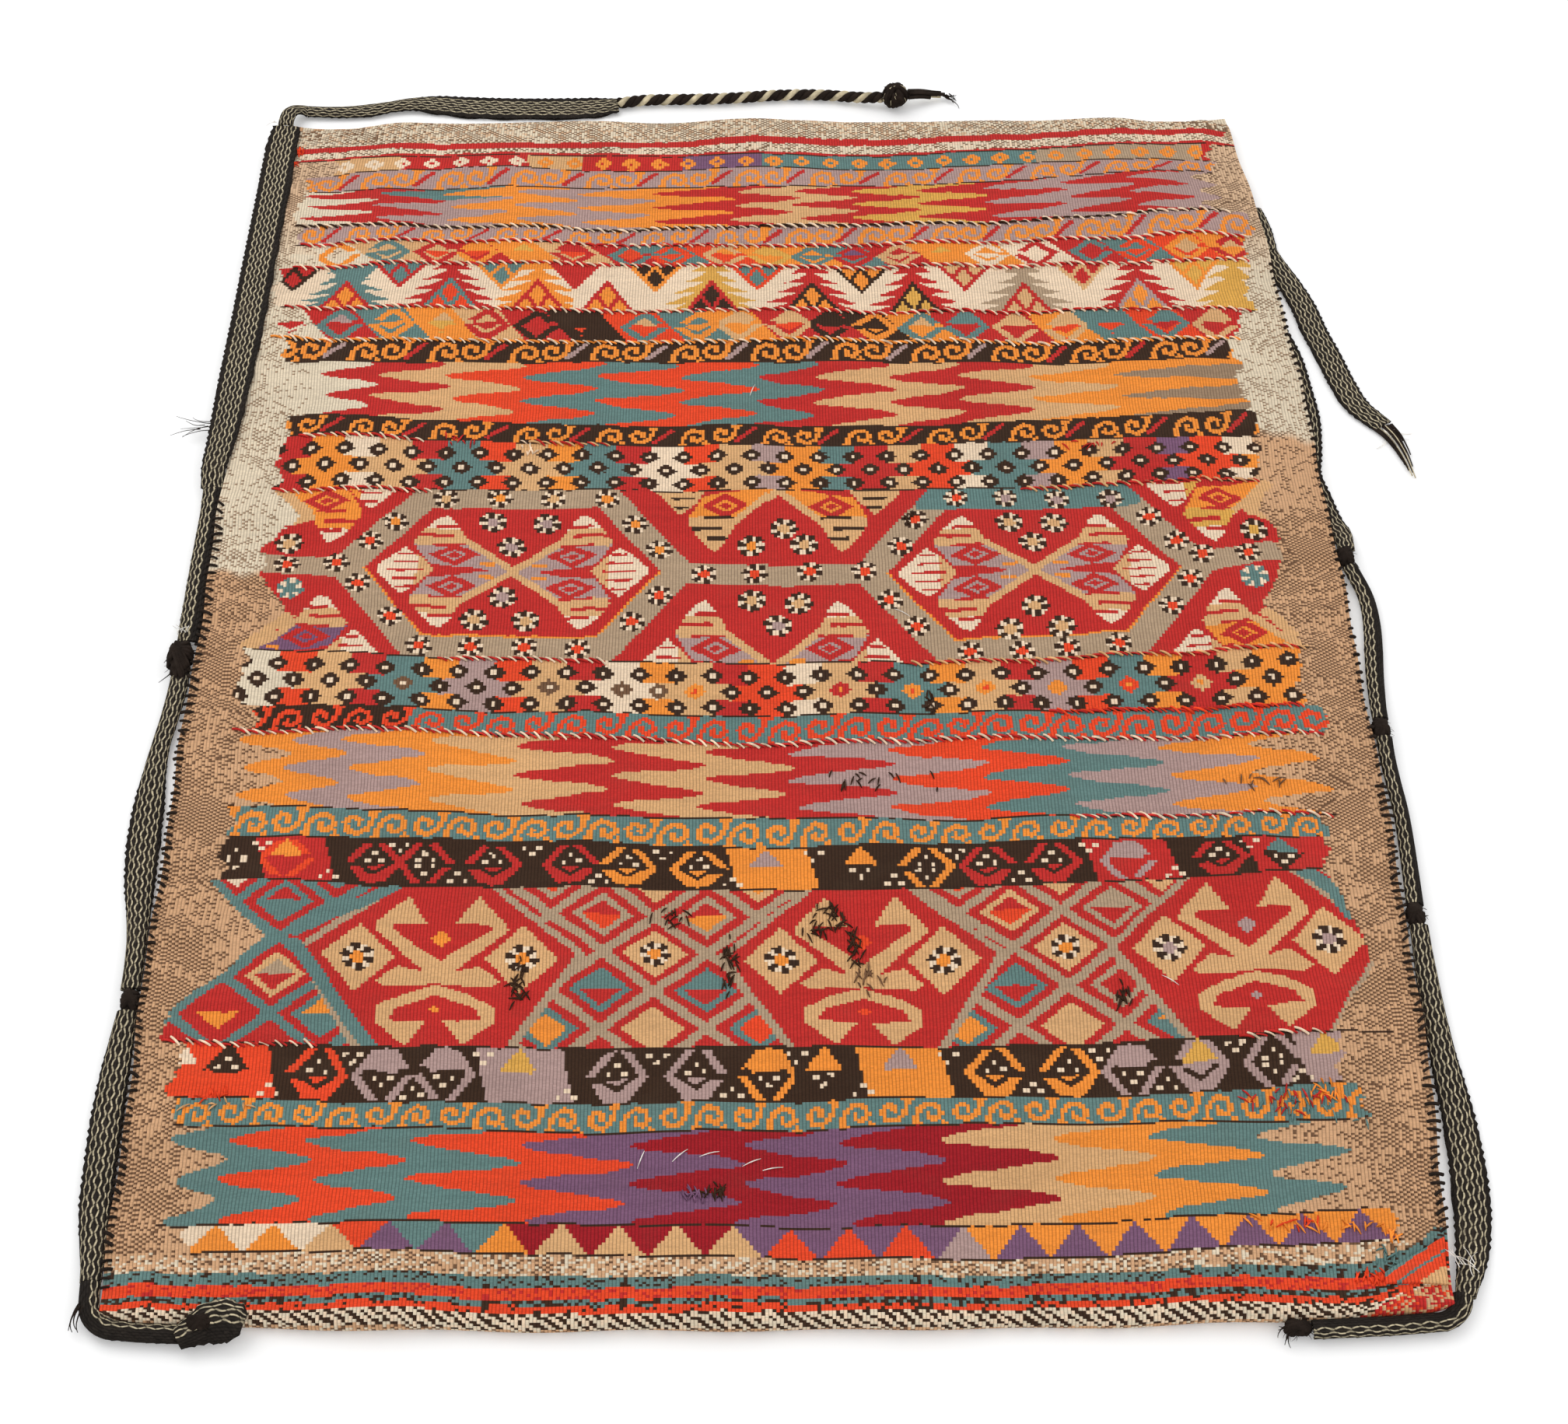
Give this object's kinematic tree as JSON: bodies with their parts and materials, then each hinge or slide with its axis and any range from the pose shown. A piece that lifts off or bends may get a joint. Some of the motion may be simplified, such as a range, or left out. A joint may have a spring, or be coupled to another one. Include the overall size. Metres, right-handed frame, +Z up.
{
  "type": "kilim grain sack",
  "caption": "Flat-woven wool sack lying empty and flat, patterned on one face, open at one short edge, with a carrying band tacked along each side in loose loops.",
  "frame": {"origin": "on the floor under the middle of the sack", "axes": "+Y to the open mouth, +X to the right of the patterned face, +Z up out of the patterned face"},
  "size_m": [0.9329, 1.1973, 0.0223],
  "materials": {
    "back_cloth": "matt wool",
    "fold_cloth": "matt wool",
    "margin_cloth": "matt wool",
    "black_yarn": "matt wool",
    "patch_cloth": "matt wool",
    "dark_band": "matt wool",
    "striped_band": "matt wool",
    "front_cloth": "matt wool"
  },
  "bodies": {
    "sack": {"back_panel": "back_cloth", "bottom_fold": "fold_cloth", "left_side_seam": "margin_cloth", "right_side_seam": "margin_cloth", "left_seam_yarn": "black_yarn", "right_seam_yarn": "black_yarn", "corner_patch": "patch_cloth", "left_corner_loop": "dark_band", "left_sewn_band_upper": "striped_band", "left_bunched_band": "dark_band", "left_middle_knot": "black_yarn", "left_lower_tack": "black_yarn", "left_sewn_band_lower": "striped_band", "left_corner_wrap": "dark_band", "left_end_stub": "dark_band", "right_band_head": "striped_band", "right_sewn_band": "dark_band", "right_upper_tack": "black_yarn", "right_middle_tack": "black_yarn", "right_lower_tack": "black_yarn", "right_corner_wrap": "dark_band", "right_end_stub": "black_yarn"},
    "front": {"front_panel": "front_cloth"},
    "left_tie": {"left_tie_band": "striped_band"},
    "left_tie_cord": {"left_tie_braid": "striped_band", "left_tie_knot": "black_yarn", "left_tie_tail": "black_yarn"},
    "left_loop": {"left_loop_band": "striped_band"},
    "right_tie": {"right_tie_band": "striped_band", "right_tie_fringe": "black_yarn"},
    "right_upper_loop": {"right_loop_upper": "striped_band"},
    "right_middle_loop": {"right_loop_middle": "striped_band"},
    "right_lower_loop": {"right_loop_lower": "striped_band"}
  },
  "joints": [
    {"name": "mouth_opening", "type": "hinge", "parent": "sack", "child": "front", "pos_m": [0, -0.5547, 0.0125], "axis": [1, 0, 0], "range_deg": [0, 5]},
    {"name": "left_tie_swing", "type": "hinge", "parent": "sack", "child": "left_tie", "pos_m": [-0.383, 0.5771, 0.0044], "axis": [0, 0, 1], "range_deg": [0, 90]},
    {"name": "left_tie_cord_swing", "type": "hinge", "parent": "left_tie", "child": "left_tie_cord", "pos_m": [-0.1175, 0.5899, 0.0054], "axis": [0, 0, 1], "range_deg": [0, 75]},
    {"name": "left_loop_lift", "type": "hinge", "parent": "sack", "child": "left_loop", "pos_m": [-0.409, -0.0623, 0.0101], "axis": [0, 1, 0], "range_deg": [0, 90]},
    {"name": "right_tie_swing", "type": "hinge", "parent": "sack", "child": "right_tie", "pos_m": [0.4163, 0.3999, 0.0024], "axis": [0, 0, 1], "range_deg": [0, 70]},
    {"name": "right_upper_loop_lift", "type": "hinge", "parent": "sack", "child": "right_upper_loop", "pos_m": [0.4234, 0.0387, 0.01], "axis": [0, -1, 0], "range_deg": [0, 90]},
    {"name": "right_middle_loop_lift", "type": "hinge", "parent": "sack", "child": "right_middle_loop", "pos_m": [0.4215, -0.1257, 0.01], "axis": [0, -1, 0], "range_deg": [0, 90]},
    {"name": "right_lower_loop_lift", "type": "hinge", "parent": "sack", "child": "right_lower_loop", "pos_m": [0.4042, -0.2872, 0.01], "axis": [0, -1, 0], "range_deg": [0, 90]}
  ]
}
